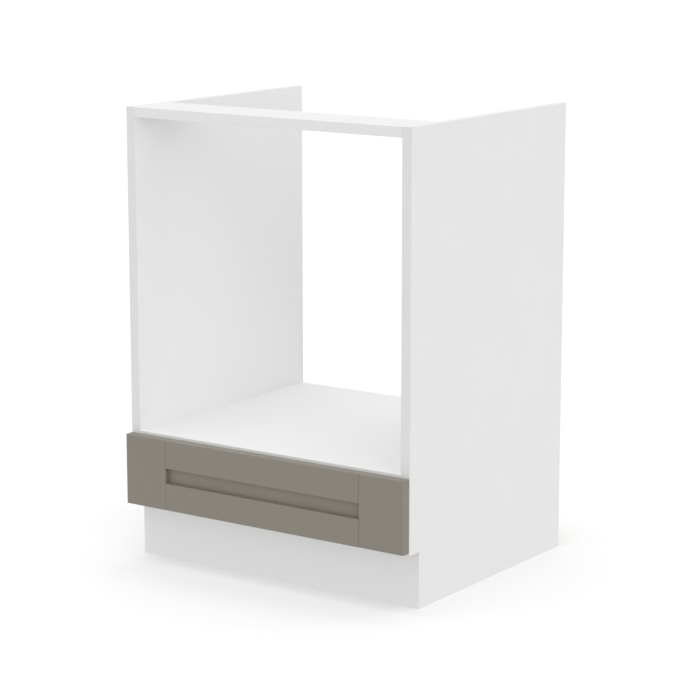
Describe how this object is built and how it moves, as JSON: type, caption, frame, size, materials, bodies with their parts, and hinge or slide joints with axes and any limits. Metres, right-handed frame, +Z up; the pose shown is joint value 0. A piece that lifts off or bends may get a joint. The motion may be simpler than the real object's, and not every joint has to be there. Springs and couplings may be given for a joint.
{
  "type": "oven base cabinet",
  "caption": "Kitchen base cabinet for a built-in oven: open niche with a shelf, and a handleless drawer with a framed front above a set-back plinth.",
  "frame": {"origin": "on the floor, under the middle of the cabinet's bounding box", "axes": "+Z up, the drawer front faces -Y, +X to the right of someone who faces the rear of the niche"},
  "size_m": [0.6, 0.52, 0.82],
  "materials": {
    "white_board": "white melamine on chipboard, fine satin",
    "edge_band": "white ABS edge band, satin",
    "hardboard": "white lacquered hardboard",
    "front_paint": "grey-taupe satin foil on fibreboard",
    "runner_enamel": "white epoxy powder coat on sheet steel",
    "zinc": "zinc plated",
    "beech": "raw beech, fluted",
    "nylon": "natural nylon",
    "bumper": "clear soft polyurethane"
  },
  "bodies": {
    "carcass": {"side_left": "white_board", "side_right": "white_board", "front_rail": "white_board", "oven_shelf": "white_board", "base_panel": "white_board", "plinth_board": "white_board", "back_strip": "hardboard", "side_edge_band_left": "edge_band", "side_edge_band_right": "edge_band", "rail_edge_band": "edge_band", "shelf_edge_band": "edge_band", "base_edge_band": "edge_band", "cam_locks": "zinc", "cam_bolts": "zinc", "carcass_dowels": "beech", "plinth_brackets": "zinc", "plinth_bracket_screws": "zinc", "cabinet_runner_left": "runner_enamel", "cabinet_runner_right": "runner_enamel", "runner_screws": "zinc", "front_axle_left": "zinc", "front_axle_right": "zinc"},
    "drawer": {"front_stile_left": "front_paint", "front_stile_right": "front_paint", "front_top_rail": "front_paint", "front_bottom_rail": "front_paint", "front_centre_panel": "front_paint", "drawer_side_left": "white_board", "drawer_side_right": "white_board", "drawer_inner_front": "white_board", "drawer_back": "white_board", "drawer_bottom": "hardboard", "drawer_rail_left": "runner_enamel", "drawer_rail_right": "runner_enamel", "rear_axle_left": "zinc", "rear_axle_right": "zinc", "front_screws": "zinc", "box_screws": "zinc", "drawer_rail_screws": "zinc", "drawer_bottom_screws": "zinc", "front_bumpers": "bumper"},
    "roller_front_left": {"front_roller_left": "nylon"},
    "roller_front_right": {"front_roller_right": "nylon"},
    "roller_rear_left": {"rear_roller_left": "nylon"},
    "roller_rear_right": {"rear_roller_right": "nylon"}
  },
  "joints": [
    {"name": "drawer_slide", "type": "slide", "parent": "carcass", "child": "drawer", "axis": [0, -1, 0], "range_m": [0, 0.345]},
    {"name": "front_roller_left_spin", "type": "hinge", "parent": "carcass", "child": "roller_front_left", "pos_m": [-0.2765, -0.223, 0.1418], "axis": [1, 0, 0], "continuous": true},
    {"name": "front_roller_right_spin", "type": "hinge", "parent": "carcass", "child": "roller_front_right", "pos_m": [0.2765, -0.223, 0.1418], "axis": [1, 0, 0], "continuous": true},
    {"name": "rear_roller_left_spin", "type": "hinge", "parent": "drawer", "child": "roller_rear_left", "pos_m": [-0.275, 0.197, 0.1418], "axis": [1, 0, 0], "continuous": true},
    {"name": "rear_roller_right_spin", "type": "hinge", "parent": "drawer", "child": "roller_rear_right", "pos_m": [0.275, 0.197, 0.1418], "axis": [1, 0, 0], "continuous": true}
  ],
  "couplings": [
    {"joint": "front_roller_left_spin", "follows": "drawer_slide", "rad_per_m": 86.957},
    {"joint": "front_roller_right_spin", "follows": "drawer_slide", "rad_per_m": 86.957},
    {"joint": "rear_roller_left_spin", "follows": "drawer_slide", "rad_per_m": 86.957},
    {"joint": "rear_roller_right_spin", "follows": "drawer_slide", "rad_per_m": 86.957}
  ]
}
